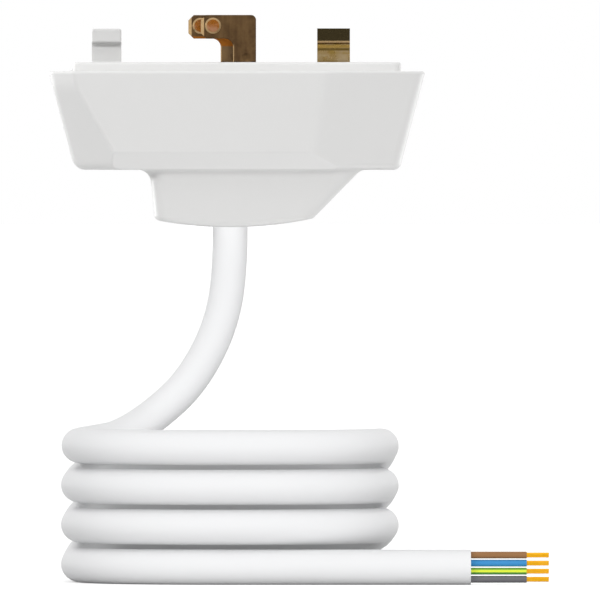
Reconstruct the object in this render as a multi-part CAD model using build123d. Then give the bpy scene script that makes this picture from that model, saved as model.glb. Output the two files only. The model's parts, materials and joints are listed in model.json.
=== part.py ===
from build123d import *
import math
import os

# Four-pin lighting plug with a coiled four-core cord, in millimetres, +Z up.
# The origin is the centre of the flat rim face that meets the outlet. The contacts point up,
# the cord leaves downwards, and the blunt end of the body is at -X.

# Cover: a drafted tub with flat grip panels front and back
rim_length = 70.3
rim_depth = 34.0
body_height = 18.4
end_draft = 14.7
panel_draft = 5.0
rim_wall = 1.4
body_wall = 2.4
end_edge_radius = 3.0
low_left_radius = 2.8
low_right_radius = 1.5
edge_radius = 0.7
rim_edge_radius = 0.5

# Blunt end facets: upright under the rim, then sloping in below the break line
blunt_facet_start = 4.85
blunt_facet_turn = 45.0
blunt_facet_draft = 6.4
blunt_break_height = 3.0
blunt_slope_draft = 25.3
blunt_break_radius = 8.0
blunt_edge_radius = 1.2

# Long facets of the tapered end
taper_facet_start = 18.55
taper_facet_turn = 22.0
taper_facet_draft = 7.9
taper_edge_radius = 5.0

# Sloped band along the lower edge of each grip panel
band_height = 3.3
band_draft = 40.0

# Nose round the cord: its left side from the cord's axis, the others from the rim
nose_left = 15.0
nose_left_draft = 5.6
nose_right_inset = 12.05
nose_right_slope = 44.5
nose_shoulder = 7.0
nose_panel_draft = 3.0
nose_height = 10.7
nose_belly_radius = 74.0
nose_wall = 2.0
nose_edge_radius = 2.6
nose_low_radius = 1.2
nose_root_radius = 2.4

# Pin carrier with its raised platform, inset from the rim at the ends and at the sides
flange_thickness = 2.2
flange_clearance = 0.1
platform_end_inset = 4.55
platform_side_inset = 8.0
platform_height = 1.7
platform_corner_radius = 1.3
platform_edge_radius = 0.5
platform_flare = 0.9
slot_clearance = 0.08

# Moulded hook, placed from the blunt end
hook_inset = 10.75
hook_width = 5.5
hook_height = 7.95
hook_neck_height = 5.35
hook_neck_depth = 3.2
hook_overhang = 2.4
hook_neck_radius = 0.8
hook_edge_radius = 0.4

# Bronze L-blades
blade_thickness = 1.0
blade_right = 3.5
blade_stem_width = 4.24
blade_top = 10.5
blade_arm_length = 10.28
blade_arm_height = 4.4
blade_inner_radius = 1.6
blade_heel_radius = 0.9
blade_tip_chamfer = 1.0
blade_tip_bevel = 0.6
blade_edge_chamfer = 0.16
blade_foot_width = 3.0
blade_foot_depth = 5.0
blade_pitch = 6.2
blade_stagger = 2.35

# Pressed mark low on each blade's front, placed from its right edge and from the platform
dimple_inset = 1.8
dimple_rise = 0.9
dimple_radius = 0.8
dimple_depth = 0.25

# Contact rivets
rivet_inset = 2.28
rivet_drop = 2.0
rivet_head_radius = 1.5
rivet_head_height = 0.55
rivet_bevel = 0.35
rivet_shank_radius = 0.8
rivet_tail_radius = 1.15
rivet_tail_height = 0.35
rivet_clearance = 0.03

# Brass earth hook, placed from the tapered end
earth_inset = 17.15
earth_width = 6.1
earth_thickness = 1.0
earth_top = 8.0
earth_joggle_height = 5.25
earth_joggle = 2.2
earth_bend_radius = 0.4
earth_lip_radius = 0.4
earth_foot_width = 4.0

# Terminals under the carrier
terminal_width = 6.0
terminal_depth = 5.0
terminal_height = 7.6
terminal_edge = 0.4
terminal_screw_drop = 5.4
terminal_screw_radius = 1.25
terminal_head_radius = 1.9
terminal_head_height = 1.5

# Cover screws, down through the platform into bosses of the cover, placed from the two ends
blunt_screw_inset = 18.15
taper_screw_inset = 9.15
cover_screw_radius = 1.5
cover_screw_length = 13.0
cover_head_radius = 2.75
boss_radius = 2.9
screw_clearance = 0.15
pilot_clearance = 0.05

# Screwdriver slots
slot_width = 0.8
slot_depth = 0.7

# Cord grip: a saddle that hangs from the carrier on two legs, and the bar in front of it
grip_width = 20.0
grip_leg_width = 3.0
grip_gap = 3.0
grip_height = 6.0
grip_clearance = 1.1
grip_screw_spacing = 14.6
grip_screw_radius = 1.25
grip_screw_margin = 1.5
grip_head_radius = 2.3
grip_head_height = 1.4

# Cord
cord_x = -1.3
cord_diameter = 6.5
cord_hole_clearance = 0.2
cord_end_rise = 2.0
core_diameter = 1.28
wire_diameter = 0.82
wire_clearance = 0.06
wire_length = 4.1
core_ring_radius = 1.25
core_ring_start = 225.0
core_upright_share = 0.36

# Share of a run that each of its two bends may take
bend_share = 0.45

# Coil: four stacked turns in front of the cord's exit
coil_radius = 28.15
coil_centre_y = -26.0
coil_top = 69.51
coil_pitch = 7.36
coil_turns = 4
coil_swell = 0.1
coil_web = 3.0
coil_meeting_angle = 145.0
coil_stub_share = 0.25

# Tail and its stripped cores
tail_end = 43.27
tail_stub = 20.0
core_end_length = 10.3
core_end_pitch = 1.49

# Route of the lead from the nose to the top turn of the coil, points chosen by hand
lead_route = [
    (-1.3, 0.0, -38.0),
    (-3.3, -0.2, -48.3),
    (-8.6, -0.8, -58.1),
    (-16.0, -3.0, -64.6),
]

# Colours of the four cores, in the order of their spots, and the contact that each one feeds
core_colours = ("brown", "blue", "green_yellow", "grey")
terminal_names = {"brown": "live", "blue": "neutral", "green_yellow": "earth", "grey": "switched"}

half_length = rim_length / 2
half_depth = rim_depth / 2
platform_length = rim_length - 2 * platform_end_inset
platform_depth = rim_depth - 2 * platform_side_inset
hook_x = -half_length + hook_inset
earth_x = half_length - earth_inset
cover_screw_spots = (-half_length + blunt_screw_inset, half_length - taper_screw_inset)

# The nose, and the cord grip that fits inside it
nose_depth = rim_depth - 2 * nose_shoulder
nose_bottom = -(body_height + nose_height)
grip_thickness = (nose_depth - grip_gap) / 2 - nose_wall - grip_clearance - grip_head_height
grip_screw_length = grip_gap + 2 * grip_thickness - grip_screw_margin
grip_top = -nose_bottom - nose_wall - grip_clearance - grip_height
cord_inner_end = grip_top - cord_end_rise

# Where each blade stands from the middle one's place, and the terminals under the contacts
blade_offsets = {
    "live": (0.0, -blade_pitch),
    "neutral": (-blade_stagger, 0.0),
    "switched": (0.0, blade_pitch),
}
blade_centre = blade_right - blade_stem_width / 2
terminal_spots = {
    name: (blade_centre + along, across) for name, (along, across) in blade_offsets.items()
}
terminal_spots["earth"] = (earth_x, 0.0)
carrier_under = -flange_thickness
terminal_under = carrier_under - terminal_height

# Larger than the whole part, for blocks that are cut down and for cuts that go right through
block_size = 300.0
# Degrees within which two faces count as the same wall
angle_tolerance = 0.1


def tilted(plan_angle, draft):
    """Outward normal of a wall: its direction in plan from +X, leaning down by the draft."""
    a = math.radians(plan_angle)
    d = math.radians(draft)
    return Vector(math.cos(a) * math.cos(d), math.sin(a) * math.cos(d), -math.sin(d))


def both_sides(point, normal):
    """A front wall and its mirror image at the back."""
    mirrored = (Vector(point[0], -point[1], point[2]), Vector(normal.X, -normal.Y, normal.Z))
    return [(Vector(*point), normal), mirrored]


def panel_y(drop):
    """Where the front panel stands at a drop below the rim."""
    return -half_depth + drop * math.tan(math.radians(panel_draft))


def body_walls():
    """Every outer wall of the tub, as a point on it and its outward normal."""
    blunt_turn = 180.0 + blunt_facet_turn
    taper_turn = 270.0 + taper_facet_turn
    upright = tilted(blunt_turn, blunt_facet_draft)
    start_x = -half_length + blunt_facet_start
    in_plane = upright.Y * (panel_y(blunt_break_height) - panel_y(0)) - upright.Z * blunt_break_height
    break_x = start_x - in_plane / upright.X
    band_top = body_height - band_height
    walls = [
        (Vector(-half_length, 0, 0), tilted(180.0, end_draft)),
        (Vector(half_length, 0, 0), tilted(0.0, end_draft)),
        (Vector(0, 0, -body_height), Vector(0, 0, -1)),
    ]
    walls += both_sides((0, -half_depth, 0), tilted(270.0, panel_draft))
    walls += both_sides((start_x, -half_depth, 0), upright)
    walls += both_sides(
        (break_x, panel_y(blunt_break_height), -blunt_break_height),
        tilted(blunt_turn, blunt_slope_draft),
    )
    walls += both_sides(
        (half_length - taper_facet_start, -half_depth, 0), tilted(taper_turn, taper_facet_draft)
    )
    walls += both_sides((0, panel_y(band_top), -band_top), tilted(270.0, band_draft))
    return walls


def nose_walls():
    """Outer walls of the nose, apart from its rounded belly."""
    walls = [
        (Vector(cord_x - nose_left, 0, -body_height), tilted(180.0, nose_left_draft)),
        (Vector(half_length - nose_right_inset, 0, -body_height), tilted(0.0, nose_right_slope)),
    ]
    return walls + both_sides((0, -nose_depth / 2, -body_height), tilted(270.0, nose_panel_draft))


def walled_block(walls, inset):
    """The space inside a set of walls, each moved inwards by the inset."""
    block = Box(block_size, block_size, block_size, align=(Align.CENTER, Align.CENTER, Align.MAX))
    for point, normal in walls:
        block = split(block, bisect_by=Plane(point - normal * inset, z_dir=normal), keep=Keep.BOTTOM)
    return block


def slab(top, bottom):
    """A wide level slab between two heights."""
    return Pos(0, 0, bottom) * Box(
        block_size, block_size, top - bottom, align=(Align.CENTER, Align.CENTER, Align.MIN)
    )


def shared_edges(solid, first, second):
    """Edges where a face with the first normal meets one with the second."""

    def faces_along(normal):
        planes = solid.faces().filter_by(GeomType.PLANE)
        return [f for f in planes if f.normal_at().get_angle(normal) < angle_tolerance]

    return [
        e
        for f in faces_along(first)
        for g in faces_along(second)
        for e in f.edges()
        if any(e.is_same(other) for other in g.edges())
    ]


def mirror_pair(normal):
    """A wall's normal at the front and at the back."""
    return [normal, Vector(normal.X, -normal.Y, normal.Z)]


def round_where(solid, firsts, seconds, radius):
    """Round every edge where a face along one of the first normals meets one along the second."""
    edges = [e for first in firsts for second in seconds for e in shared_edges(solid, first, second)]
    return fillet(edges, radius)


def rounded_body():
    """The tub's outer form, with large radii at its ends and small ones elsewhere."""
    body = walled_block(body_walls(), 0)
    blunt_end = [tilted(180.0, end_draft)]
    taper_end = [tilted(0.0, end_draft)]
    under = [Vector(0, 0, -1)]
    panels = mirror_pair(tilted(270.0, panel_draft))
    uprights = mirror_pair(tilted(180.0 + blunt_facet_turn, blunt_facet_draft))
    slopes = mirror_pair(tilted(180.0 + blunt_facet_turn, blunt_slope_draft))
    tapers = mirror_pair(tilted(270.0 + taper_facet_turn, taper_facet_draft))
    bands = mirror_pair(tilted(270.0, band_draft))
    body = round_where(body, uprights, slopes, blunt_break_radius)
    body = round_where(body, uprights + slopes, blunt_end, end_edge_radius)
    body = round_where(body, tapers, taper_end, end_edge_radius)
    body = round_where(body, panels, tapers, taper_edge_radius)
    body = round_where(body, panels, uprights + slopes, blunt_edge_radius)
    body = round_where(body, under, blunt_end, low_left_radius)
    body = round_where(body, under, taper_end, low_right_radius)
    return round_where(body, bands, panels + slopes + tapers + under, edge_radius)


def nose_block(inset, top):
    """The nose's outer form moved inwards, its belly an arc about the cord."""
    belly_centre = nose_bottom + nose_belly_radius
    belly = Pos(cord_x, 0, belly_centre) * Rot(90, 0, 0) * Cylinder(nose_belly_radius - inset, block_size)
    return walled_block(nose_walls(), inset) & belly & slab(top, nose_bottom)


def rounded_nose(top):
    """The nose's outer form with its corners and belly rounded."""
    nose = nose_block(0, top)
    panels = mirror_pair(tilted(270.0, nose_panel_draft))
    sides = [tilted(180.0, nose_left_draft), tilted(0.0, nose_right_slope)]
    nose = round_where(nose, panels, sides, nose_edge_radius)
    belly = [f for f in nose.faces() if f.geom_type == GeomType.CYLINDER and f.radius > rim_length / 2]
    return fillet(belly[0].edges(), nose_low_radius)


def outer_form():
    """Tub and nose together, with a hollow radius where the nose grows out of the underside."""
    form = rounded_body() + rounded_nose(-body_height + body_wall / 2)
    under = form.faces().filter_by(Axis.Z).sort_by(SortBy.AREA)
    under = [f for f in under if abs(f.center().Z + body_height) < edge_radius][-1]
    form = fillet(under.inner_wires()[0].edges(), nose_root_radius)
    rim = form.faces().sort_by(Axis.Z)[-1]
    return fillet(rim.outer_wire().edges(), rim_edge_radius)


def make_cover():
    """Tub and nose in one moulding, open at the rim, with a ledge for the carrier and two screw bosses."""
    overlap = body_wall / 2
    shell = outer_form()
    hollow = walled_block(body_walls(), body_wall) & slab(-flange_thickness, -body_height)
    seat = walled_block(body_walls(), rim_wall) & slab(0, -flange_thickness)
    nose_hollow = nose_block(nose_wall, -body_height + body_wall + overlap)
    cord_hole = Pos(cord_x, 0, nose_bottom) * Cylinder(
        cord_diameter / 2 + cord_hole_clearance, nose_height
    )
    shell = shell - seat - hollow - nose_hollow - cord_hole
    for x in cover_screw_spots:
        boss = Pos(x, 0, -body_height) * Cylinder(
            boss_radius, body_height - flange_thickness, align=(Align.CENTER, Align.CENTER, Align.MIN)
        )
        shell += boss & walled_block(body_walls(), rim_wall)
        shell -= screw_hole(x, cover_screw_radius + pilot_clearance)
    return shell


def screw_hole(x, radius):
    """The space for a cover screw's shank, a little longer than the screw."""
    depth = cover_screw_length + slot_depth
    return Pos(x, 0, platform_height) * Cylinder(
        radius, depth, align=(Align.CENTER, Align.CENTER, Align.MAX)
    )


def countersink(x, grow):
    """The cone under a cover screw's head."""
    return Pos(x, 0, platform_height) * Cone(
        cover_screw_radius + grow,
        cover_head_radius + grow,
        cover_head_radius - cover_screw_radius,
        align=(Align.CENTER, Align.CENTER, Align.MAX),
    )


def foot_slot(spot, width, thickness):
    """The slot that a contact's foot passes through, from the platform down into its terminal."""
    deep = platform_height + blade_foot_depth
    return Pos(spot[0], spot[1], platform_height) * Box(
        width + 2 * slot_clearance,
        thickness + 2 * slot_clearance,
        deep + slot_clearance,
        align=(Align.CENTER, Align.CENTER, Align.MAX),
    )


def moulded_hook():
    """The carrier's own hook, from the rim plane up: a block whose head stands out towards the front."""
    front = -hook_neck_depth / 2
    back = hook_neck_depth / 2
    outline = Polyline(
        (front, 0),
        (front, hook_neck_height),
        (front - hook_overhang, hook_neck_height),
        (front - hook_overhang, hook_height),
        (back, hook_height),
        (back, 0),
        close=True,
    )
    profile = make_face(outline)
    inner = profile.vertices().sort_by_distance(Vector(front, hook_neck_height))[0]
    profile = fillet(inner, hook_neck_radius)
    hook = Pos(hook_x - hook_width / 2, 0, 0) * extrude(Plane.YZ * profile, hook_width)
    head_edges = hook.faces().sort_by(Axis.Z)[-1].edges() + hook.faces().sort_by(Axis.Y)[0].edges()
    return fillet(head_edges, hook_edge_radius)


def grip_saddle():
    """Two legs under the carrier, joined by the saddle that the cord is clamped against."""
    reach = grip_top + grip_height
    frame = Pos(cord_x, grip_gap / 2, 0) * Box(
        grip_width, grip_thickness, reach, align=(Align.CENTER, Align.MIN, Align.MAX)
    )
    window = Pos(cord_x, grip_gap / 2, 0) * Box(
        grip_width - 2 * grip_leg_width,
        block_size,
        grip_top,
        align=(Align.CENTER, Align.CENTER, Align.MAX),
    )
    saddle = (frame - window) & slab(carrier_under, -reach)
    saddle -= Pos(cord_x, 0, 0) * Cylinder(cord_diameter / 2, block_size)
    for x in grip_screw_spots():
        saddle -= grip_screw_hole(x, grip_screw_radius + pilot_clearance)
    return saddle


def grip_screw_spots():
    """The two sides of the cord where the grip's screws stand."""
    return [cord_x - grip_screw_spacing / 2, cord_x + grip_screw_spacing / 2]


def grip_screw_hole(x, radius):
    """A hole through the saddle or the bar for one of the grip's screws."""
    return Pos(x, 0, -(grip_top + grip_height / 2)) * Rot(90, 0, 0) * Cylinder(radius, nose_depth)


def platform_foot():
    """The hollow flare at the foot of the platform's blunt end."""
    end = -platform_length / 2
    corner = Pos(end - platform_flare / 2, platform_flare / 2) * Rectangle(platform_flare, platform_flare)
    flare = corner - Pos(end - platform_flare, platform_flare) * Circle(platform_flare)
    width = platform_depth - 2 * platform_corner_radius
    return Pos(0, width / 2, 0) * extrude(Plane.XZ * flare, width)


def make_carrier():
    """Flange and platform, the hook on top, the cord saddle underneath."""
    flange = walled_block(body_walls(), rim_wall + flange_clearance) & slab(0, -flange_thickness)
    plan = RectangleRounded(platform_length, platform_depth, platform_corner_radius)
    platform = extrude(plan, platform_height)
    platform = fillet(platform.faces().sort_by(Axis.Z)[-1].edges(), platform_edge_radius)
    carrier = flange + platform + platform_foot() + moulded_hook() + grip_saddle()
    for name in blade_offsets:
        carrier -= foot_slot(terminal_spots[name], blade_foot_width, blade_thickness)
    carrier -= foot_slot(terminal_spots["earth"], earth_foot_width, earth_thickness)
    for x in cover_screw_spots:
        carrier -= screw_hole(x, cover_screw_radius + screw_clearance)
        carrier -= countersink(x, screw_clearance)
    return carrier


def dimple():
    """The ball that presses the mark into a blade's front."""
    ball_radius = (dimple_radius**2 + dimple_depth**2) / (2 * dimple_depth)
    out = -blade_thickness + dimple_depth - ball_radius
    return Pos(blade_right - dimple_inset, out, platform_height + dimple_rise) * Sphere(ball_radius)


def make_blade(name):
    """A stamped L: a foot through the carrier, a stem and an arm that points to the blunt end.
    Its front edges are broken, its tip is bevelled and a mark is pressed in low on its stem."""
    left = blade_right - blade_stem_width
    tip = blade_right - blade_arm_length
    arm_under = blade_top - blade_arm_height
    foot_left = blade_centre - blade_foot_width / 2
    foot_right = blade_centre + blade_foot_width / 2
    outline = Polyline(
        (foot_left, -blade_foot_depth),
        (foot_right, -blade_foot_depth),
        (foot_right, platform_height),
        (blade_right, platform_height),
        (blade_right, blade_top),
        (tip, blade_top),
        (tip, arm_under),
        (left, arm_under),
        (left, platform_height),
        (foot_left, platform_height),
        close=True,
    )
    profile = make_face(outline)

    def corner(x, z):
        return profile.vertices().sort_by_distance(Vector(x, z))[0]

    profile = fillet(corner(left, arm_under), blade_inner_radius)
    profile = fillet(corner(blade_right, blade_top), blade_heel_radius)
    profile = chamfer([corner(tip, blade_top), corner(tip, arm_under)], blade_tip_chamfer)
    blade = extrude(Plane.XZ * profile, blade_thickness)
    blade = chamfer(blade.faces().sort_by(Axis.Y)[0].edges(), blade_edge_chamfer)
    bevel = Plane((tip + blade_tip_bevel, -blade_thickness, 0), z_dir=(-1, -1, 0))
    blade = split(blade, bisect_by=bevel, keep=Keep.BOTTOM) - dimple()
    along, across = blade_offsets[name]
    return Pos(along, across + blade_thickness / 2, 0) * blade - rivet_shank(name, rivet_clearance)


def rivet_place(name):
    """Frame of a rivet: its axis runs from the blade's front face towards the back."""
    along, across = blade_offsets[name]
    x = blade_right - blade_arm_length + rivet_inset + along
    return Pos(x, across - blade_thickness / 2, blade_top - rivet_drop) * Rot(-90, 0, 0)


def rivet_shank(name, grow):
    """The part of a rivet that passes through its blade."""
    return rivet_place(name) * Cylinder(
        rivet_shank_radius + grow, blade_thickness, align=(Align.CENTER, Align.CENTER, Align.MIN)
    )


def make_rivets():
    """One rivet on each blade: a bevelled head in front, a small peened tail behind."""
    rivets = []
    for name in blade_offsets:
        half = Polyline(
            (0, -rivet_head_height),
            (rivet_head_radius - rivet_bevel, -rivet_head_height),
            (rivet_head_radius, -rivet_head_height + rivet_bevel),
            (rivet_head_radius, 0),
            (rivet_shank_radius, 0),
            (rivet_shank_radius, blade_thickness),
            (rivet_tail_radius, blade_thickness),
            (rivet_shank_radius, blade_thickness + rivet_tail_height),
            (0, blade_thickness + rivet_tail_height),
            close=True,
        )
        rivet = revolve(Plane.XZ * make_face(half), Axis.Z)
        rivets.append(rivet_place(name) * rivet)
    return Compound(rivets)


def make_earth_hook():
    """A brass strip with a joggle: its head stands in front of its stem."""
    t = earth_thickness
    front = -t / 2
    head = front - earth_joggle
    web = earth_joggle_height
    outline = Polyline(
        (front, -blade_foot_depth),
        (front, web),
        (head, web),
        (head, earth_top),
        (head + t, earth_top),
        (head + t, web + t),
        (front + t, web + t),
        (front + t, -blade_foot_depth),
        close=True,
    )
    profile = make_face(outline)

    def corner(y, z):
        return profile.vertices().sort_by_distance(Vector(y, z))[0]

    profile = fillet([corner(front, web), corner(head + t, web + t)], earth_bend_radius)
    profile = fillet(corner(head, web), earth_lip_radius)
    profile = fillet(corner(front + t, web + t), earth_bend_radius + t)
    strip = Pos(earth_x - earth_width / 2, 0, 0) * extrude(Plane.YZ * profile, earth_width)
    foot = Pos(earth_x, 0, 0) * Box(earth_foot_width, block_size, block_size)
    return (strip & slab(earth_top, platform_height)) + (strip & foot & slab(platform_height, -block_size))


def terminal_screw_place(name):
    """Frame of a terminal screw: its axis runs from the block's left face to the wire."""
    x, y = terminal_spots[name]
    return Pos(x - terminal_width / 2, y, carrier_under - terminal_screw_drop) * Rot(0, 90, 0)


def make_terminal(name):
    """A brass block: a slot for the contact's foot, a bore for the wire and a tapped hole at the side."""
    x, y = terminal_spots[name]
    block = Pos(x, y, carrier_under) * Box(
        terminal_width,
        terminal_depth,
        terminal_height,
        align=(Align.CENTER, Align.CENTER, Align.MAX),
    )
    block = chamfer(block.edges().filter_by(Axis.Z), terminal_edge)
    foot_width = earth_foot_width if name == "earth" else blade_foot_width
    thickness = earth_thickness if name == "earth" else blade_thickness
    block -= foot_slot((x, y), foot_width, thickness)
    wire_bore = Pos(x, y, terminal_under) * Cylinder(
        wire_diameter / 2 + wire_clearance, 2 * wire_length
    )
    tapped = terminal_screw_place(name) * Cylinder(
        terminal_screw_radius + pilot_clearance,
        terminal_width / 2,
        align=(Align.CENTER, Align.CENTER, Align.MIN),
    )
    return block - wire_bore - tapped


def slotted_screw(radius, length, head_radius, head_height):
    """A cheese-head screw along +Z, its head's seat at zero."""
    shank = Cylinder(radius, length, align=(Align.CENTER, Align.CENTER, Align.MIN))
    head = Cylinder(head_radius, head_height, align=(Align.CENTER, Align.CENTER, Align.MAX))
    groove = Pos(0, 0, -head_height) * Box(block_size, slot_width, 2 * slot_depth)
    return shank + head - groove


def make_terminal_screws():
    """One screw at each terminal's left side, its tip on the wire."""
    reach = (terminal_width - wire_diameter) / 2
    screw = slotted_screw(terminal_screw_radius, reach, terminal_head_radius, terminal_head_height)
    return Compound([terminal_screw_place(name) * screw for name in terminal_spots])


def make_grip_bar():
    """The bar in front of the cord, hollowed to its round."""
    bar = Pos(cord_x, -grip_gap / 2, -grip_top) * Box(
        grip_width, grip_thickness, grip_height, align=(Align.CENTER, Align.MAX, Align.MAX)
    )
    bar = fillet(bar.edges().filter_by(Axis.Y), edge_radius)
    bar -= Pos(cord_x, 0, 0) * Cylinder(cord_diameter / 2, block_size)
    for x in grip_screw_spots():
        bar -= grip_screw_hole(x, grip_screw_radius + screw_clearance)
    return bar


def make_grip_screws():
    """The two screws that pull the bar against the cord."""
    screw = slotted_screw(grip_screw_radius, grip_screw_length, grip_head_radius, grip_head_height)
    seat = -(grip_gap / 2 + grip_thickness)
    height = -(grip_top + grip_height / 2)
    return Compound([Pos(x, seat, height) * Rot(-90, 0, 0) * screw for x in grip_screw_spots()])


def make_cover_screws():
    """Two countersunk screws, flush with the platform."""
    screws = []
    for x in cover_screw_spots:
        shank = Pos(x, 0, platform_height) * Cylinder(
            cover_screw_radius, cover_screw_length, align=(Align.CENTER, Align.CENTER, Align.MAX)
        )
        groove = Pos(x, 0, platform_height) * Box(block_size, slot_width, 2 * slot_depth)
        screws.append(shank + countersink(x, 0) - groove)
    return Compound(screws)


def tube_along(points, diameter, name):
    """A round tube on straight runs joined by the largest arcs that the runs allow."""
    pts = [Vector(*p) for p in points]
    runs = [b - a for a, b in zip(pts, pts[1:])]
    radii = []
    for a, b in zip(runs, runs[1:]):
        half_turn = math.radians(a.get_angle(b)) / 2
        radii.append(bend_share * min(a.length, b.length) / math.tan(half_turn))
    path = FilletPolyline(*pts, radius=radii)
    tube = sweep(Plane(pts[0], z_dir=runs[0]) * Circle(diameter / 2), path=path)
    straight_volume = math.pi * diameter**2 / 4 * path.length
    print(name, "radii", [round(r, 1) for r in radii])
    print(name, "volume ratio", round(tube.volume / straight_volume, 5))
    return tube


def rod(start, direction, length, diameter):
    """A straight round rod."""
    return Plane(Vector(*start), z_dir=Vector(*direction)) * Cylinder(
        diameter / 2, length, align=(Align.CENTER, Align.CENTER, Align.MIN)
    )


def coil_point(angle, turn):
    """A point on the middle of a turn, by its angle about the coil's axis."""
    a = math.radians(angle)
    return Vector(
        cord_x + coil_radius * math.cos(a),
        coil_centre_y + coil_radius * math.sin(a),
        -coil_top - turn * coil_pitch,
    )


def lead_points():
    """The lead's route from the nose to where it meets the coil's own stub."""
    last = Vector(*lead_route[-1])
    meeting = coil_point(coil_meeting_angle, 0)
    end = last + (meeting - last) * (1 - coil_stub_share)
    return [(cord_x, 0, nose_bottom)] + lead_route + [tuple(end)]


def make_coil(lead):
    """The outer shape of the stacked turns, with the ends where the lead arrives and the tail leaves."""
    profile = Sketch()
    for turn in range(coil_turns):
        height = -coil_top - turn * coil_pitch
        profile += Pos(coil_radius, height) * Circle(cord_diameter / 2 + coil_swell)
    stack = (coil_turns - 1) * coil_pitch
    profile += Pos(coil_radius, -coil_top - stack / 2) * Rectangle(coil_web, stack)
    turns = revolve(Plane.XZ * profile, Axis.Z)
    coil = Pos(cord_x, coil_centre_y, 0) * turns
    meeting = coil_point(coil_meeting_angle, 0)
    arriving = meeting - Vector(*lead_points()[-1])
    coil += rod(lead_points()[-1], arriving, arriving.length, cord_diameter)
    coil += rod(coil_point(270.0, coil_turns - 1), (1, 0, 0), tail_stub, cord_diameter)
    return coil - lead


def core_spot(index):
    """Where a core leaves the sheath inside the plug, on a ring about the cord's axis."""
    a = math.radians(core_ring_start + index * 360 / len(core_colours))
    return (cord_x + core_ring_radius * math.cos(a), core_ring_radius * math.sin(a), -cord_inner_end)


def core_route(index, colour):
    """A core's way from the sheath to the underside of its terminal, upright at both ends."""
    x, y = terminal_spots[terminal_names[colour]]
    start = Vector(*core_spot(index))
    end = Vector(x, y, terminal_under)
    rise = Vector(0, 0, (terminal_under + cord_inner_end) * core_upright_share)
    return [start, start + rise, end - rise, end]


def write(shape, node):
    """Export one node."""
    export_step(shape, os.path.join("parts", node + ".step"))


def main():
    """Build every node."""
    os.makedirs("parts", exist_ok=True)
    write(make_cover(), "cover")
    write(make_carrier(), "pin_carrier")
    for name in blade_offsets:
        write(make_blade(name), name + "_blade")
    write(make_rivets(), "contact_rivets")
    write(make_earth_hook(), "earth_hook")
    for name in terminal_spots:
        write(make_terminal(name), name + "_terminal")
    write(make_terminal_screws(), "terminal_screws")
    write(make_grip_bar(), "cord_grip_bar")
    write(make_grip_screws(), "cord_grip_screws")
    write(make_cover_screws(), "cover_screws")
    entry_length = -nose_bottom - cord_inner_end
    write(rod((cord_x, 0, nose_bottom), (0, 0, 1), entry_length, cord_diameter), "cord_entry")
    lead = tube_along(lead_points(), cord_diameter, "lead")
    write(lead, "cord_lead")
    write(make_coil(lead), "cord_coil")
    tail_start = coil_point(270.0, coil_turns - 1) + Vector(tail_stub, 0, 0)
    write(rod(tail_start, (1, 0, 0), tail_end - tail_start.X, cord_diameter), "cord_tail")
    for index, colour in enumerate(core_colours):
        route = core_route(index, colour)
        write(tube_along(route, core_diameter, colour), colour + "_core_inner")
        inner_length = wire_length - wire_clearance
        write(rod(route[-1], (0, 0, 1), inner_length, wire_diameter), colour + "_wire_inner")
        across = ((len(core_colours) - 1) / 2 - index) * core_end_pitch
        core_start = Vector(tail_end, tail_start.Y, tail_start.Z + across)
        wire_start = core_start + Vector(core_end_length, 0, 0)
        write(rod(core_start, (1, 0, 0), core_end_length, core_diameter), colour + "_core_end")
        write(rod(wire_start, (1, 0, 0), wire_length, wire_diameter), colour + "_wire_end")


if __name__ == "__main__":
    main()
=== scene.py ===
import json
import math

import bpy
from bpy.props import FloatProperty, FloatVectorProperty, IntProperty, PointerProperty
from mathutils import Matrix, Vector

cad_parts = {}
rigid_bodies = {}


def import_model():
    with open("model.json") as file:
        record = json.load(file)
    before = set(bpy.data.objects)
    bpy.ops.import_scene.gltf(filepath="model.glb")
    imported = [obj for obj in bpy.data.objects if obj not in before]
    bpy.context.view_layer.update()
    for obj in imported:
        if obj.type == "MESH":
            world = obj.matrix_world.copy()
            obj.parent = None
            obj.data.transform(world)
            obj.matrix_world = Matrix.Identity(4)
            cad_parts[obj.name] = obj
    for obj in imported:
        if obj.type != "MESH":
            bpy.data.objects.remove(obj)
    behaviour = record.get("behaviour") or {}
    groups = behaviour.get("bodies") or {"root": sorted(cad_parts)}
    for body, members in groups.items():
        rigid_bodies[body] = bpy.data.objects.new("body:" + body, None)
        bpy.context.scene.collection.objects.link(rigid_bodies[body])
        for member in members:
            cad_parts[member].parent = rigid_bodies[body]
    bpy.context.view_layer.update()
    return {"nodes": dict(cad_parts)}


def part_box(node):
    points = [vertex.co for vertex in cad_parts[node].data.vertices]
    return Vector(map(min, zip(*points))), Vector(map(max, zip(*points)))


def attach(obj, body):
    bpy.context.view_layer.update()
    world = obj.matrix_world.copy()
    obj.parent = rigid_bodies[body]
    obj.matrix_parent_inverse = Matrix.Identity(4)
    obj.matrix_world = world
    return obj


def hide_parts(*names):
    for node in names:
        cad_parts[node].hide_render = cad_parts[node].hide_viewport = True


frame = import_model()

bl_info = {
    "name": "Lighting Plug with Coiled Cord",
    "version": (1, 0, 0),
    "blender": (4, 5, 0),
    "location": "View3D > Sidebar > Plug",
    "description": "Finishes the plug's mouldings and contacts, lays its cord and sets the stage",
    "category": "Object",
}

NODES = frame["nodes"]
BODY = "root"
MM = 0.001
COLOURS = ("brown", "blue", "green_yellow", "grey")
CONTACTS = ("live", "neutral", "switched")
TERMINALS = CONTACTS + ("earth",)

# The lead's route from the nose to the coil in metres: the points of the part's source,
# the last three moved by up to 1 mm so that the lead arrives as low as it is seen to
CORD_EXIT = (-0.0013, 0.0, -0.0291)
LEAD_ROUTE = [
    (-0.0013, 0.0, -0.038),
    (-0.0033, -0.0003, -0.0483),
    (-0.0086, -0.0016, -0.0581),
    (-0.0155, -0.004, -0.0644),
]

# Rings of strands round the middle strand of a bare end
STRAND_RINGS = 2

# Half the side of the square floor, in metres
FLOOR_HALF = 12.0

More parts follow.
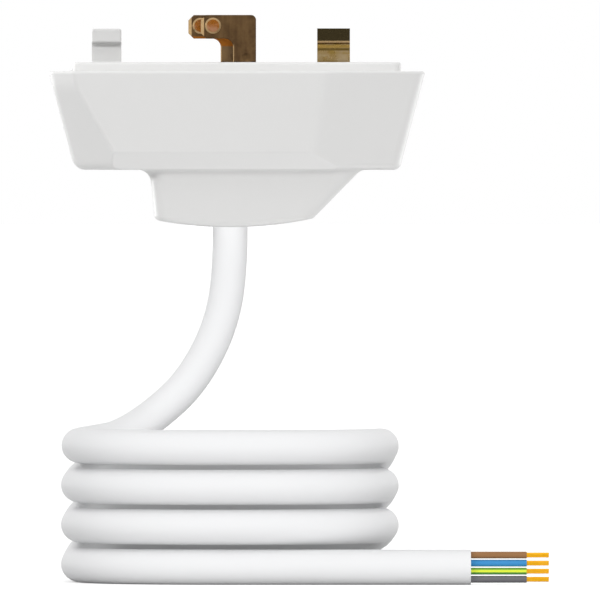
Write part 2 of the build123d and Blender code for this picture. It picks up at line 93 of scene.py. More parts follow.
# Each lamp's azimuth and elevation in degrees, its distance and its width and height in metres,
# the collection that it lights, and whether reflections show it
LAMPS = {
    "front": (0.0, 3.8, 2.0, (3.2, 0.12), "cord_and_floor", False),
    "key": (-14.0, 22.0, 2.0, (3.2, 0.34), "plug", False),
    "left": (-124.0, 6.0, 0.7, (0.4, 0.4), "plug", True),
    "right": (124.0, -4.0, 0.7, (0.4, 0.4), "plug", True),
    "low": (60.0, -74.0, 0.7, (0.4, 0.4), "plug", True),
    "hood": (-10.0, 60.0, 0.7, (0.4, 0.4), "plug", True),
}


def node_size(node):
    """A node's length along each axis."""
    low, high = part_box(node)
    return high - low


def node_centre(node):
    """The middle of a node's box."""
    low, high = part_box(node)
    return (low + high) / 2


def show_in_scene(obj):
    """Link a new object to the scene."""
    bpy.context.scene.collection.objects.link(obj)
    return obj


def colour_property(name, description, default):
    """A linear colour that a user may change."""
    return FloatVectorProperty(
        name=name, description=description, default=default, size=3, min=0, max=1, subtype="COLOR"
    )


def number_property(name, description, default, **kind):
    """A number from 0 up that a user may change, of the kind that is given."""
    return FloatProperty(
        name=name, description=description, default=default, min=0, precision=5, **kind
    )


def length_property(name, description, default):
    """A length in metres that a user may change."""
    return number_property(name, description, default, unit="LENGTH")


def power_property(name, description, default):
    """A lamp's power in watts that a user may change."""
    return number_property(name, description, default, unit="POWER")


def angle_property(name, description, degrees):
    """An angle that a user may change."""
    return number_property(name, description, math.radians(degrees), subtype="ANGLE")


def share_property(name, description, default):
    """A share from 0 to 1 that a user may change."""
    return number_property(name, description, default, max=1, subtype="FACTOR")


class PlugColours(bpy.types.PropertyGroup):
    """Colours of the mouldings, the contacts and the cores."""

    moulding: colour_property(
        "Moulding", "White of the cover and the pin carrier", (0.68, 0.678, 0.672)
    )
    sheath: colour_property("Sheath", "White of the cord", (0.82, 0.823, 0.83))
    bronze: colour_property("Bronze", "Dull sheet of the three blades", (0.098, 0.056, 0.026))
    bronze_worn: colour_property(
        "Worn bronze", "Rubbed streaks on the blades", (0.168, 0.099, 0.044)
    )
    # Rubbed wear, and also painted highlights on the blades' tips and stem edges, the rivets' rims
    # and the earth strip's bend, and painted light on the middle blade's stem
    rubbed_and_painted_light: colour_property(
        "Rubbed", "Edges that slide along the outlet's springs", (0.5, 0.34, 0.175)
    )
    rivet: colour_property("Rivet", "Contact rivets", (0.355, 0.122, 0.018))
    brass: colour_property("Brass", "Lower part of the earth strip", (0.312, 0.2, 0.053))
    # Painted dark reflection on the head of the earth strip
    brass_dark_reflection: colour_property(
        "Tarnished brass", "Head of the earth strip", (0.045, 0.034, 0.0152)
    )
    steel: colour_property("Steel", "Zinc plated screws", (0.5, 0.5, 0.52))
    copper: colour_property("Copper", "Bare strands", (1.0, 0.53, 0.012))
    brown: colour_property("Brown", "Insulation of the brown core", (0.3, 0.138, 0.042))
    blue: colour_property("Blue", "Insulation of the blue core", (0.033, 0.27, 0.61))
    green: colour_property("Green", "Green of the striped core", (0.085, 0.32, 0.032))
    yellow: colour_property("Yellow", "Stripe of the striped core", (0.75, 0.88, 0.06))
    grey: colour_property("Grey", "Insulation of the grey core", (0.145, 0.143, 0.157))


class CordSizes(bpy.types.PropertyGroup):
    """Sizes of the cord, its coil and its stripped end."""

    diameter: length_property(
        "Diameter", "Outer diameter of the sheath", node_size("cord_tail").y
    )
    coil_x: length_property("Coil X", "Middle of the coil, left of the origin", 1.3 * MM)
    coil_y: length_property("Coil Y", "Middle of the coil, in front of the origin", 26.0 * MM)
    coil_radius: length_property("Coil radius", "Middle line of a turn", 28.15 * MM)
    coil_top: length_property("Coil top", "Drop of the top turn below the rim", 69.51 * MM)
    coil_pitch: length_property("Coil pitch", "Drop from one front turn to the next", 7.36 * MM)
    coil_squareness: number_property(
        "Squareness", "Power of a turn's outline, 2 for round", 2.5
    )
    back_closing: length_property("Back closing", "How far the back turns close up", 0.6 * MM)
    coil_turns: IntProperty(
        name="Turns", description="Turns that show in front", default=4, min=1
    )
    points_per_turn: IntProperty(
        name="Points", description="Route points in a turn", default=24, min=12
    )
    lead_in_angle: angle_property(
        "Lead in", "Part of a turn over which the lead arrives", 37.5
    )
    lead_in_rise: length_property(
        "Lead in rise", "Height of the lead where it starts to arrive", 1.2 * MM
    )
    lead_in_inset: length_property(
        "Lead in inset", "How far inside the turn the lead arrives", 2.5 * MM
    )
    right_drop: share_property(
        "Right drop", "Share of the back that the first half drop takes", 0.22
    )
    left_drop: share_property(
        "Left drop", "Share of the back that the second half drop takes", 0.25
    )
    strand_turns: number_property("Strand lay", "Twists in a bare end", 0.45)
    strand_gap: length_property("Strand gap", "Gap between two strands", 0.004 * MM)
    strand_spread: number_property("Spread", "How far the cut strands open out", 1.15)


class StageSettings(bpy.types.PropertyGroup):
    """Camera and light."""

    scale: length_property("Scale", "Object size of one pixel", 0.18617 * MM)
    frame_pixels: IntProperty(
        name="Frame", description="Pixels along the frame", default=600, min=1, subtype="PIXEL"
    )
    middle_x: length_property("Middle X", "Frame's middle, right of the origin", 11.73 * MM)
    middle_y: length_property("Middle Y", "Plane of the scale, in front of the origin", 17.0 * MM)
    middle_drop: length_property("Middle drop", "Frame's middle, below the rim", 42.6 * MM)
    elevation: angle_property("Elevation", "Camera's height above level", 0.5)
    lens: number_property("Lens", "Focal length in millimetres", 1400.0, unit="CAMERA")
    ambient_front: number_property("Ambient front", "Light from the camera's side", 0.35)
    ambient_back: number_property("Ambient back", "Light from the backdrop", 1.0)
    ambient_side: number_property("Ambient side", "Light added from both sides", 0.5)
    gloss_front: number_property(
        "Gloss front", "What metal reflects of the camera's side", 0.75
    )
    front_power: power_property("Front", "Low strip round the camera, for the cord", 37.5)
    key_power: power_property("Key", "Higher strip for the plug", 30.0)
    left_power: power_property("Left", "Edge light on the plug", 2.8)
    right_power: power_property("Right", "Edge light on the plug", 2.0)
    low_power: power_property("Low", "Reflector under the plug", 2.7)
    hood_power: power_property("Hood", "Light above the plug", 0.8)
    floor_bounce: share_property("Bounce", "Share of light that the floor throws back", 0.35)
    floor_lift: share_property("Floor lift", "White added to the floor for the eye", 0.4)


class Shading:
    """A shader tree with short ways to place and join its nodes."""

    def __init__(self, owner, shader):
        owner.use_nodes = True
        self.tree = owner.node_tree
        self.shader = self.tree.nodes[shader]

    def node(self, kind, inputs=None, **settings):
        """Add a node, with plain values or other nodes' outputs for its inputs."""
        made = self.tree.nodes.new("ShaderNode" + kind)
        for name, value in settings.items():
            setattr(made, name, value)
        for name, value in (inputs or {}).items():
            self.feed(made.inputs[name], value)
        return made

    def feed(self, socket, value):
        """Set a socket to a value, or join it to an output."""
        if isinstance(value, bpy.types.NodeSocket):
            self.tree.links.new(value, socket)
        else:
            socket.default_value = value

    def shade(self, **values):
        """Set or join sockets of the main shader, named with underscores."""
        for name, value in values.items():
            label = name.replace("_", " ").title().replace("Ior", "IOR")
            self.feed(self.shader.inputs[label], value)

    def math(self, operation, *values):
        """Plain arithmetic on one to three values."""
        return self.node("Math", dict(enumerate(values)), operation=operation).outputs[0]

    def spread(self, value, low, high, from_low=0.3, from_high=0.7):
        """A value stretched from one range to another."""
        ends = {"From Min": from_low, "From Max": from_high, "To Min": low, "To Max": high}
        return self.node("MapRange", {"Value": value, **ends}).outputs["Result"]

    def between(self, share, first, second):
        """A value between two values."""
        return self.node("Mix", {"Factor": share, "A": first, "B": second}).outputs["Result"]

    def axes(self, source):
        """The three coordinates of a point on the surface, or of a direction in the world."""
        where = self.node("TexCoord").outputs[source]
        return self.node("SeparateXYZ", {"Vector": where}).outputs


class Finish(Shading):
    """A new material."""

    def __init__(self, name):
        self.material = bpy.data.materials.new(name)
        super().__init__(self.material, "Principled BSDF")

    def place(self, scale=(1, 1, 1), source="Object"):
        """Coordinates on the piece, stretched along each axis."""
        where = self.node("TexCoord").outputs[source]
        return self.node("Mapping", {"Vector": where, "Scale": scale}).outputs["Vector"]

    def noise(self, where, scale, detail=3.0, roughness=0.5):
        """Soft random values from 0 to 1."""
        sizes = {"Vector": where, "Scale": scale, "Detail": detail, "Roughness": roughness}
        return self.node("TexNoise", sizes).outputs["Fac"]

    def mix(self, share, first, second):
        """A colour between two colours."""
        made = self.node("Mix", data_type="RGBA")
        self.feed(made.inputs["Factor"], share)
        for socket, value in ((made.inputs[6], first), (made.inputs[7], second)):
            self.feed(socket, value if isinstance(value, bpy.types.NodeSocket) else (*value, 1.0))
        return made.outputs[2]

    def axis(self, letter):
        """The object's coordinate along one axis."""
        return self.axes("Object")[letter]

    def band(self, value, middle, half, fade):
        """1 near a middle value, and 0 further off."""
        away = self.math("ABSOLUTE", self.math("SUBTRACT", value, middle))
        return self.spread(away, 1.0, 0.0, half, half + fade)

    def tint(self):
        """What colours the surface so far."""
        return self.shader.inputs["Base Color"].links[0].from_socket

    def bump(self, height, strength, depth):
        """A surface relief from a height."""
        relief = {"Height": height, "Strength": strength, "Distance": depth}
        return self.node("Bump", relief).outputs["Normal"]


def paler(colour, share):
    """A colour moved towards white, or towards black with a negative share."""
    goal = 1.0 if share > 0 else 0.0
    return tuple(c + (goal - c) * abs(share) for c in colour)


def white_moulding(colours):
    """Satin moulded plastic with a fine spark-eroded grain.
    Painted shade: it is a little darker on the hook, which stands above the platform."""
    platform, hook_foot, hook_painted_shade = 1.8 * MM, 2.0 * MM, -0.12
    finish = Finish("white_moulding")
    cloud = finish.noise(finish.place(), 70.0)
    grain = finish.noise(finish.place(), 2600.0, detail=2.0)
    base = tuple(colours.moulding)
    # Painted shade on the hook, which stands above the platform
    hook = finish.spread(finish.axis("Z"), 0.0, 1.0, platform, hook_foot)
    tint = finish.mix(cloud, paler(base, -0.012), paler(base, 0.03))
    finish.shade(
        base_color=finish.mix(hook, tint, paler(base, hook_painted_shade)),
        roughness=finish.spread(cloud, 0.4, 0.48),
        normal=finish.bump(grain, 0.1, 0.03 * MM),
        ior=1.47,
    )
    return finish.material


def white_sheath(colours):
    """Extruded flexible plastic with faint lines along the cord."""
    finish = Finish("white_sheath")
    cloud = finish.noise(finish.place(), 45.0)
    lines = finish.noise(finish.place((14.0, 60.0, 1.0), "UV"), 1.0, detail=2.0)
    base = tuple(colours.sheath)
    finish.shade(
        base_color=finish.mix(cloud, paler(base, -0.012), paler(base, 0.03)),
        roughness=finish.spread(lines, 0.3, 0.36),
        normal=finish.bump(lines, 0.06, 0.05 * MM),
        ior=1.47,
    )
    return finish.material


def rolled_metal(name, base, worn_and_painted_light, roughness, streaks=(900.0, 900.0, 90.0), metallic=1.0):
    """Metal sheet with rolling streaks, rubbed patches and a dull to bright gloss."""
    finish = Finish(name)
    streak = finish.noise(finish.place(streaks), 1.0, detail=4.0)
    patch = finish.noise(finish.place(), 420.0, detail=4.0, roughness=0.6)
    share = finish.math("MULTIPLY", streak, patch)
    finish.shade(
        base_color=finish.mix(finish.spread(share, 0.0, 1.0, 0.18, 0.36), base, worn_and_painted_light),
        roughness=finish.spread(patch, roughness - 0.06, roughness + 0.08),
        normal=finish.bump(streak, 0.12, 0.02 * MM),
        metallic=metallic,
        specular_tint=(*worn_and_painted_light, 1.0),
    )
    return finish


def bronze_sheet(colours, node):
    """Dull bronze of a blade, bright on its bevelled tip and on the edge of its stem: partly rubbed
    wear, partly a painted highlight.
    The middle blade, whose stem shows, has painted light on its lower stem and a painted reflection
    of the rivet's colour under its arm."""
    finish = rolled_metal(node, tuple(colours.bronze), tuple(colours.bronze_worn), 0.34)
    tint, along, height = finish.tint(), finish.axis("X"), finish.axis("Z")
    rubbed_and_painted_light = tuple(colours.rubbed_and_painted_light)
    if node == "neutral_blade":
        # Painted light on the middle blade's lower stem
        stem_painted_light, painted_light_end, painted_light_gone = 0.22, 4.6 * MM, 5.0 * MM
        reflection_height, reflection_half, reflection_fade = 5.6 * MM, 0.75 * MM, 0.3 * MM
        worn_and_painted_light = finish.spread(height, stem_painted_light, 0.0, painted_light_end, painted_light_gone)
        tint = finish.mix(worn_and_painted_light, tint, rubbed_and_painted_light)
        # Painted reflection of the rivet's colour under the middle blade's arm
        patch = finish.band(height, reflection_height, reflection_half, reflection_fade)
        tint = finish.mix(patch, tint, tuple(colours.rivet))
    low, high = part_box(node)
    bevel, stem, arm = 0.6 * MM, 4.24 * MM, 4.4 * MM
    edge_half, edge_fade = 0.16 * MM, 0.02 * MM
    fade_start, fade_end = arm + 1.5 * MM, arm + 1.0 * MM
    # The bevelled tip and the stem's edge: partly rubbed wear, partly a painted highlight
    tip = finish.band(along, low.x, bevel, edge_fade)
    edge = finish.band(along, high.x - stem, edge_half, edge_fade)
    below = finish.spread(height, 1.0, 0.0, high.z - fade_start, high.z - fade_end)
    bright = finish.math("MAXIMUM", tip, finish.math("MULTIPLY", edge, below))
    finish.shade(base_color=finish.mix(bright, tint, rubbed_and_painted_light))
    return finish.material


def contact_copper(colours):
    """Turned copper alloy of the rivets, with a painted highlight round the edge."""
    rim_forward, rim_half, rim_fade = 0.26 * MM, 0.76 * MM, 0.02 * MM
    base, streaks = tuple(colours.rivet), (700.0,) * 3
    finish = rolled_metal("contact_copper", paler(base, -0.12), paler(base, 0.1), 0.28, streaks)
    depth = finish.axis("Y")
    # Painted highlight round each rivet's edge
    painted_rim_highlight = 0.0
    for name in CONTACTS:
        middle = node_centre(name + "_blade").y - rim_forward
        painted_rim_highlight = finish.math("MAXIMUM", painted_rim_highlight, finish.band(depth, middle, rim_half, rim_fade))
    finish.shade(base_color=finish.mix(painted_rim_highlight, finish.tint(), tuple(colours.rubbed_and_painted_light)))
    return finish.material


def earth_brass(colours):
    """Brass strip with a painted dark reflection on its head, a painted highlight at the bend and
    painted reflection bands, dark and pale, on the stem below.
    """
    base, streaks = tuple(colours.brass), (90.0, 900.0, 900.0)
    finish = rolled_metal("earth_brass", paler(base, -0.15), paler(base, 0.12), 0.26, streaks)
    tint = finish.tint()
    height = finish.axis("Z")
    bright = tuple(1.1 * c for c in base)
    # Each painted band's middle height, half height and colour: a dark and a pale painted
    # reflection on the stem, a painted highlight at the bend and a painted dark reflection on the
    # head
    painted_bands = (
        (4.1 * MM, 0.15 * MM, paler(base, -0.55)),
        (4.65 * MM, 0.2 * MM, bright),
        (5.45 * MM, 0.15 * MM, colours.rubbed_and_painted_light),
        (7.0 * MM, 1.25 * MM, colours.brass_dark_reflection),
    )
    painted_band_fade = 0.15 * MM
    for middle, half, colour in painted_bands:
        tint = finish.mix(finish.band(height, middle, half, painted_band_fade), tint, tuple(colour))
    finish.shade(base_color=tint)
    return finish.material


def plain_brass(colours):
    """Brass of the terminals."""
    base = tuple(colours.brass)
    return rolled_metal("terminal_brass", paler(base, -0.1), paler(base, 0.2), 0.34).material


def zinc_steel(colours):
    """Zinc plated steel of the screws."""
    base, streaks = tuple(colours.steel), (600.0,) * 3
    finish = rolled_metal("zinc_steel", paler(base, -0.2), paler(base, 0.15), 0.32, streaks)
    return finish.material


def bare_copper(colours):
    """Bright bare strands."""
    base, streaks = tuple(colours.copper), (80.0, 900.0, 900.0)
    dull, bright = paler(base, -0.08), paler(base, 0.03)
    return rolled_metal("bare_copper", dull, bright, 0.34, streaks, metallic=0.15).material


def insulation(node, base, stripe=None):
    """Smooth insulation of a core, with a stripe along it where the core has one, and some of the
    stripe's colour left over the core's top as painted light.
    """
    finish = Finish(node)
    flow = finish.noise(finish.place((60.0, 900.0, 900.0)), 1.0, detail=2.0)
    tint = finish.mix(flow, paler(base, -0.08), paler(base, 0.05))
    if stripe:
        # The stripe's ends as shares of the core's radius: sharp below, soft above, where a share
        # of the stripe's colour stays on the core's top as painted light
        sharp_start, sharp_end, soft_start, soft_end = -0.36, -0.28, 0.25, 0.5
        painted_light_above = 0.15
        radius = node_size(node).z / 2
        off = finish.math("SUBTRACT", finish.axis("Z"), node_centre(node).z)
        sharp = finish.spread(off, 0.0, 1.0, sharp_start * radius, sharp_end * radius)
        soft = finish.spread(off, 1.0, painted_light_above, soft_start * radius, soft_end * radius)
        tint = finish.mix(finish.math("MULTIPLY", sharp, soft), tint, stripe)
    finish.shade(
        base_color=tint,
        roughness=finish.spread(flow, 0.4, 0.5),
        normal=finish.bump(flow, 0.08, 0.02 * MM),
        specular_ior_level=0.2,
    )
    return finish.material


def dress(nodes, material):
    """Give a finish to CAD nodes."""
    for name in nodes:
        slots = NODES[name].data.materials
        slots.clear()
        slots.append(material)


class PLUG_OT_mouldings(bpy.types.Operator):
    """Finish the cover, the pin carrier and the cord grip's bar"""

    bl_idname = "plug.mouldings"
    bl_label = "Finish Mouldings"

    def execute(self, context):
        nodes = ("cover", "pin_carrier", "cord_grip_bar")
        dress(nodes, white_moulding(context.scene.plug_colours))
        return {"FINISHED"}


class PLUG_OT_contacts(bpy.types.Operator):
    """Finish the blades, their rivets, the earth strip and the terminals"""

    bl_idname = "plug.contacts"
    bl_label = "Finish Contacts"

    def execute(self, context):
        colours = context.scene.plug_colours
        for node in [name + "_blade" for name in CONTACTS]:
            dress((node,), bronze_sheet(colours, node))
        dress(("contact_rivets",), contact_copper(colours))
        dress(("earth_hook",), earth_brass(colours))
        dress([name + "_terminal" for name in TERMINALS], plain_brass(colours))
        return {"FINISHED"}


class PLUG_OT_screws(bpy.types.Operator):
    """Finish the cover's, the terminals' and the cord grip's screws"""

    bl_idname = "plug.screws"
    bl_label = "Finish Screws"

    def execute(self, context):
        nodes = ("cover_screws", "terminal_screws", "cord_grip_screws")
        dress(nodes, zinc_steel(context.scene.plug_colours))
        return {"FINISHED"}


def eased(share):
    """A share kept from 0 to 1, slow at both ends."""
    share = min(max(share, 0.0), 1.0)
    return share**3 * (share * (6 * share - 15) + 10)


def turn_height(sizes, run, lead_in):
    """Height of the coil's middle line, by the degrees run since the top turn's left end.
    A turn is level in front, and drops half a pitch at each end of its back."""
    if run < 0:
        return -sizes.coil_top + sizes.lead_in_rise * (run / lead_in) ** 2
    turn, part = divmod(run, 360.0)
    share = part / 180.0 - 1.0
    first = eased(share / sizes.right_drop)
    last = eased((share - 1.0) / sizes.left_drop + 1.0)
    drop = turn + (first + last) / 2
    middle = (sizes.coil_turns - 2) / 2
    closing = sizes.back_closing * (middle - turn) * (first - last)
    return -sizes.coil_top - drop * sizes.coil_pitch - closing


def bulge(angle, power):
    """How far a rounded square reaches beyond its circle, by the angle in degrees."""
    a = math.radians(angle)
    return (abs(math.cos(a)) ** power + abs(math.sin(a)) ** power) ** (-1.0 / power)


def coil_route(sizes):
    """Route points round the coil, spaced so that the smooth line runs at the coil's radius
    on all four sides. The first ones arrive from inside a circle, and the last two lie either
    side of the front, in line with the tail."""
    circle, inset_power = 2.0, 1.3
    lead_in = math.degrees(sizes.lead_in_angle)
    step = 360.0 / sizes.points_per_turn
    half_step = math.radians(step / 2)
    first = -lead_in / step
    last = (sizes.coil_turns - 1) * sizes.points_per_turn + 90.0 / step + 0.5
    points = []
    for index in range(round(last - first) + 1):
        run = (first + index) * step
        power = sizes.coil_squareness if run > 0 else circle
        reach = sizes.coil_radius * bulge(run, power) / bulge(step / 2, power) / math.cos(half_step)
        reach -= sizes.lead_in_inset * max(-run / lead_in, 0.0) ** inset_power
        a = math.radians(180.0 + run)
        x = -sizes.coil_x + reach * math.cos(a)
        y = -sizes.coil_y + reach * math.sin(a)
        points.append((x, y, turn_height(sizes, run, lead_in)))
    return points


def cord_route(sizes):
    """Every route point from the nose to the sheath's cut end."""
    low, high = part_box("cord_tail")
    middle = node_centre("cord_tail")
    tail = [(x, middle.y, middle.z) for x in (low.x, high.x)]
    return [CORD_EXIT] + LEAD_ROUTE + coil_route(sizes) + tail


def smooth_curve(name, points, radius):
    """A round cord along one smooth open spline."""
    data = bpy.data.curves.new(name, "CURVE")
    data.dimensions = "3D"
    spline = data.splines.new("NURBS")
    spline.points.add(len(points) - 1)
    for point, place in zip(spline.points, points):
        point.co = (*place, 1.0)
    spline.order_u = 3
    spline.use_endpoint_u = True
    spline.resolution_u = 8
    spline.use_smooth = True
    data.bevel_depth = radius
    data.bevel_resolution = 12
    data.use_fill_caps = True
    return show_in_scene(bpy.data.objects.new(name, data))


def line_length(curve_object):
    """Length of a curve's own line."""
    bare = curve_object.copy()
    bare.data = curve_object.data.copy()
    bare.data.bevel_depth = 0
    show_in_scene(bare)
    bpy.context.view_layer.update()
    graph = bpy.context.evaluated_depsgraph_get()
    mesh = bpy.data.meshes.new_from_object(bare.evaluated_get(graph))
    points = [v.co.copy() for v in mesh.vertices]
    bpy.data.objects.remove(bare)
    return sum((b - a).length for a, b in zip(points, points[1:]))


class PLUG_OT_cord(bpy.types.Operator):
    """Lay the cord from the nose, round its coil and out to its cut end"""

    bl_idname = "plug.cord"
    bl_label = "Lay Cord"

    def execute(self, context):
        sizes = context.scene.plug_cord
        cord = smooth_curve("cord", cord_route(sizes), sizes.diameter / 2)
        cord.data.materials.append(white_sheath(context.scene.plug_colours))
        dress(("cord_entry",), cord.data.materials[0])
        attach(cord, BODY)
        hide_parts("cord_lead", "cord_coil", "cord_tail")
        return {"FINISHED"}


class PLUG_OT_cores(bpy.types.Operator):
    """Finish the insulated cores and twist the bare strands at the cord's end"""

    bl_idname = "plug.cores"
    bl_label = "Strip Cores"

    def execute(self, context):
        colours, sizes = context.scene.plug_colours, context.scene.plug_cord
        tints = {name: (tuple(getattr(colours, name)),) for name in ("brown", "blue", "grey")}
        tints["green_yellow"] = (tuple(colours.green), tuple(colours.yellow))
        for colour in COLOURS:
            for node in (colour + "_core_end", colour + "_core_inner"):
                dress((node,), insulation(node, *tints[colour]))
        copper = bare_copper(colours)
        dress([colour + "_wire_inner" for colour in COLOURS], copper)
        strands = twisted_strands(sizes, copper)
        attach(strands, BODY)
        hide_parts(*[colour + "_wire_end" for colour in COLOURS])
        cord = bpy.data.objects["cord"]
        line_length(cord)
        return {"FINISHED"}


class Tree:
    """A geometry node group with short ways to place and join its nodes."""

    def __init__(self, name, inputs):
        self.tree = bpy.data.node_groups.new(name, "GeometryNodeTree")
        self.socket("Geometry", "INPUT", "Geometry")
        for label, kind in inputs:
            self.socket(label, "INPUT", kind)
        self.socket("Geometry", "OUTPUT", "Geometry")
        self.given = self.tree.nodes.new("NodeGroupInput").outputs

    def socket(self, label, side, kind):
        """Add an input or an output to the group."""
        self.tree.interface.new_socket(label, in_out=side, socket_type="NodeSocket" + kind)

    def node(self, kind, inputs=None, output=0, **settings):
        """Add a node and return one of its outputs."""
        made = self.tree.nodes.new(kind)
        for name, value in settings.items():
            setattr(made, name, value)
        for name, value in (inputs or {}).items():
            self.feed(made.inputs[name], value)
        return made.outputs[output]

    def feed(self, socket, value):
        """Set a socket to a value, or join it to one or more outputs."""
        for item in value if isinstance(value, list) else [value]:
            if isinstance(item, bpy.types.NodeSocket):
                self.tree.links.new(item, socket)
            else:
                socket.default_value = item

    def math(self, operation, first, second):
        """Plain arithmetic on two numbers."""
        return self.node("ShaderNodeMath", {0: first, 1: second}, operation=operation)

    def finish(self, geometry, material):
        """Close the tree: real meshes, with their finish."""
        solid = self.node("GeometryNodeRealizeInstances", {"Geometry": geometry})
        faced = self.node("GeometryNodeSetMaterial", {"Geometry": solid, "Material": material})
        out = self.tree.nodes.new("NodeGroupOutput")
        self.tree.links.new(faced, out.inputs[0])
        return self.tree


def strand_tree():
    """Bundles of twisted strands, one at each given point, laid along +X:
    one strand in the middle and rings of six, twelve and so on round it."""
    made = Tree(
        "Twisted strands",
        [
            ("Length", "Float"),
            ("Strand Radius", "Float"),
            ("Spacing", "Float"),
            ("Turns", "Float"),
            ("Material", "Material"),
        ],
    )
    given = made.given
    tip = made.node("ShaderNodeCombineXYZ", {"Z": given["Length"]})
    lines = [made.node("GeometryNodeCurvePrimitiveLine", {"End": tip})]
    for ring in range(1, STRAND_RINGS + 1):
        count = 6 * ring
        reach = made.math("MULTIPLY", given["Spacing"], float(ring))
        helix = made.node(
            "GeometryNodeCurveSpiral",
            {
                "Resolution": 40,
                "Rotations": given["Turns"],
                "Start Radius": reach,
                "End Radius": reach,
                "Height": given["Length"],
            },
        )
        angle = made.math("MULTIPLY", made.node("GeometryNodeInputIndex"), math.tau / count)
        turned = made.node("ShaderNodeCombineXYZ", {"Z": angle})
        starts = made.node("GeometryNodePoints", {"Count": count})
        lines.append(made.node(
            "GeometryNodeInstanceOnPoints",
            {"Points": starts, "Instance": helix, "Rotation": turned},
        ))
    joined = made.node("GeometryNodeJoinGeometry", {0: lines})
    bundle = made.node("GeometryNodeRealizeInstances", {"Geometry": joined})
    section = made.node(
        "GeometryNodeCurvePrimitiveCircle", {"Resolution": 8, "Radius": given["Strand Radius"]}
    )
    wires = made.node(
        "GeometryNodeCurveToMesh",
        {"Curve": bundle, "Profile Curve": section, "Fill Caps": True},
    )
    smooth = made.node("GeometryNodeSetShadeSmooth", {"Geometry": wires})
    along = made.node(
        "GeometryNodeInstanceOnPoints",
        {"Points": given["Geometry"], "Instance": smooth, "Rotation": (0.0, math.pi / 2, 0.0)},
    )
    return made.finish(along, given["Material"])


def grown_mesh(name, points, tree, values):
    """A plain mesh grown by a node tree from a few points."""
    seed = bpy.data.meshes.new(name + "_points")
    seed.from_pydata(points, [], [])
    obj = show_in_scene(bpy.data.objects.new(name, seed))
    modifier = obj.modifiers.new(tree.name, "NODES")
    modifier.node_group = tree
    for item in tree.interface.items_tree:
        if item.in_out == "INPUT" and item.name in values:
            modifier[item.identifier] = values[item.name]
    bpy.context.view_layer.update()
    graph = bpy.context.evaluated_depsgraph_get()
    mesh = bpy.data.meshes.new_from_object(obj.evaluated_get(graph), depsgraph=graph)
    obj.modifiers.remove(modifier)
    obj.data = mesh
    mesh.name = name
    return obj


def twisted_strands(sizes, material):
    """The four bare ends as twisted strands in place of plain rods."""
    starts = []
    for colour in COLOURS:
        low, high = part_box(colour + "_wire_end")
        starts.append((low.x, (low.y + high.y) / 2, (low.z + high.z) / 2))
    wire = node_size("brown_wire_end")
    spacing = sizes.strand_spread * wire.y / (2 * STRAND_RINGS + 1)
    values = {
        "Length": wire.x,
        "Strand Radius": (spacing - sizes.strand_gap) / 2,
        "Spacing": spacing,
        "Turns": sizes.strand_turns,
        "Material": material,
    }
    return grown_mesh("bare_strands", starts, strand_tree(), values)


def pale_floor(stage):
    """Matt floor that the eye sees lifted to white, and reflections see in its own pale colour."""
    finish = Finish("pale_floor")
    grain = finish.noise(finish.place(), 12.0)
    path = finish.node("LightPath").outputs
    mirrored = finish.math("MAXIMUM", path["Is Glossy Ray"], path["Is Transmission Ray"])
    seen = finish.math("MAXIMUM", path["Is Camera Ray"], mirrored)
    pale = finish.mix(grain, (0.9,) * 3, (0.94,) * 3)
    finish.shade(
        base_color=finish.mix(seen, (stage.floor_bounce,) * 3, pale),
        roughness=0.9,
        emission_color=(1.0, 1.0, 1.0, 1.0),
        emission_strength=finish.math("MULTIPLY", path["Is Camera Ray"], stage.floor_lift),
    )
    return finish.material


def lay_floor(stage, height):
    """A wide floor under the coil."""
    signs = ((-1, -1), (1, -1), (1, 1), (-1, 1))
    corners = [(x * FLOOR_HALF, y * FLOOR_HALF, height) for x, y in signs]
    mesh = bpy.data.meshes.new("floor")
    mesh.from_pydata(corners, [], [(0, 1, 2, 3)])
    floor = show_in_scene(bpy.data.objects.new("floor", mesh))
    mesh.materials.append(pale_floor(stage))


def light_world(stage):
    """Light from all round, stronger from the sides and the back, with white for the eye."""
    world = bpy.data.worlds.new("studio")
    bpy.context.scene.world = world
    sky = Shading(world, "Background")
    towards = sky.axes("Generated")
    path = sky.node("LightPath").outputs
    front, back = -0.5, 0.5
    depth = sky.spread(towards["Y"], stage.ambient_front, stage.ambient_back, front, back)
    aside = sky.math("MULTIPLY", towards["X"], towards["X"])
    light = sky.math("MULTIPLY_ADD", aside, stage.ambient_side, depth)
    shine = sky.spread(towards["Y"], stage.gloss_front, 1.0, front, back)
    mirrored = sky.math("MAXIMUM", path["Is Glossy Ray"], path["Is Transmission Ray"])
    level = sky.between(path["Is Camera Ray"], sky.between(mirrored, light, shine), 1.0)
    sky.shade(color=(1.0, 1.0, 1.0, 1.0), strength=level)


def aim(obj, target, azimuth, elevation, distance):
    """Put an object at angles in degrees round a target, and turn it to the target."""
    a, e = math.radians(azimuth), math.radians(elevation)
    back = Vector((math.sin(a) * math.cos(e), -math.cos(a) * math.cos(e), math.sin(e)))
    obj.location = target + back * distance
    obj.rotation_euler = (-back).to_track_quat("-Z", "Y").to_euler()


def soft_light(name, power, lit, shines, size):
    """A broad light for one collection alone."""
    data = bpy.data.lights.new(name, "AREA")
    data.shape = "RECTANGLE"
    data.size, data.size_y = size
    data.energy = power
    lamp = show_in_scene(bpy.data.objects.new(name, data))
    lamp.visible_camera = False
    lamp.visible_glossy = shines
    lamp.light_linking.receiver_collection = lit
    lamp.light_linking.blocker_collection = lit
    return lamp


def lit_apart():
    """The plug and all the rest as two collections, for lamps that light one of them alone."""
    groups = {name: bpy.data.collections.new(name) for name in ("plug", "cord_and_floor")}
    on_cord = ("cord_", *COLOURS)
    plug = [node for name, node in NODES.items() if not name.startswith(on_cord)]
    for obj in bpy.context.scene.objects:
        if obj.type in {"MESH", "CURVE"}:
            groups["plug" if obj in plug else "cord_and_floor"].objects.link(obj)
    return groups


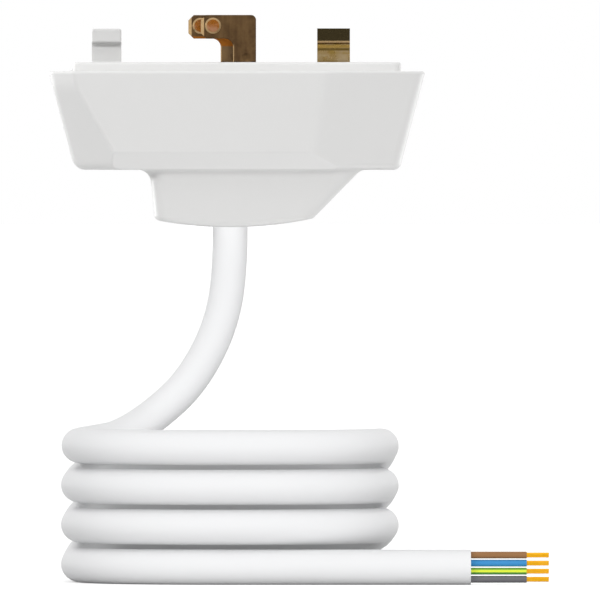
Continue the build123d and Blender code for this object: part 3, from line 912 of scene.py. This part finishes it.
def place_camera(stage, target):
    """A long lens in front, so that one pixel is one step of the scale at the target."""
    data = bpy.data.cameras.new("camera")
    data.lens = stage.lens
    camera = show_in_scene(bpy.data.objects.new("camera", data))
    half_frame = stage.scale * stage.frame_pixels / 2
    distance = half_frame * data.lens / (data.sensor_width / 2)
    aim(camera, target, 0.0, math.degrees(stage.elevation), distance)
    bpy.context.scene.camera = camera


class PLUG_OT_stage(bpy.types.Operator):
    """Set the floor, the light and the camera"""

    bl_idname = "plug.stage"
    bl_label = "Set Stage"

    def execute(self, context):
        stage = context.scene.plug_stage
        target = Vector((stage.middle_x, -stage.middle_y, -stage.middle_drop))
        lay_floor(stage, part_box("cord_tail")[0].z)
        light_world(stage)
        groups = lit_apart()
        for name, (azimuth, elevation, distance, size, lit, shines) in LAMPS.items():
            lamp = soft_light(name, getattr(stage, name + "_power"), groups[lit], shines, size)
            aim(lamp, target, azimuth, elevation, distance)
        place_camera(stage, target)
        context.scene.view_settings.view_transform = "Standard"
        return {"FINISHED"}


class PLUG_PT_panel(bpy.types.Panel):
    """The plug's pieces, in the order they are made"""

    bl_idname = "PLUG_PT_panel"
    bl_label = "Lighting Plug"
    bl_space_type = "VIEW_3D"
    bl_region_type = "UI"
    bl_category = "Plug"

    def draw(self, context):
        for operator in OPERATORS:
            self.layout.operator(operator.bl_idname)


OPERATORS = (
    PLUG_OT_mouldings,
    PLUG_OT_contacts,
    PLUG_OT_screws,
    PLUG_OT_cord,
    PLUG_OT_cores,
    PLUG_OT_stage,
)
GROUPS = {"plug_colours": PlugColours, "plug_cord": CordSizes, "plug_stage": StageSettings}


def register():
    for group in GROUPS.values():
        bpy.utils.register_class(group)
    for name, group in GROUPS.items():
        setattr(bpy.types.Scene, name, PointerProperty(type=group))
    for item in OPERATORS + (PLUG_PT_panel,):
        bpy.utils.register_class(item)


def unregister():
    for item in reversed(OPERATORS + (PLUG_PT_panel,)):
        bpy.utils.unregister_class(item)
    for name in GROUPS:
        delattr(bpy.types.Scene, name)
    for group in reversed(GROUPS.values()):
        bpy.utils.unregister_class(group)


def main():
    register()
    bpy.ops.plug.mouldings()
    bpy.ops.plug.contacts()
    bpy.ops.plug.screws()
    bpy.ops.plug.cord()
    bpy.ops.plug.cores()
    bpy.ops.plug.stage()


if __name__ == "__main__":
    main()
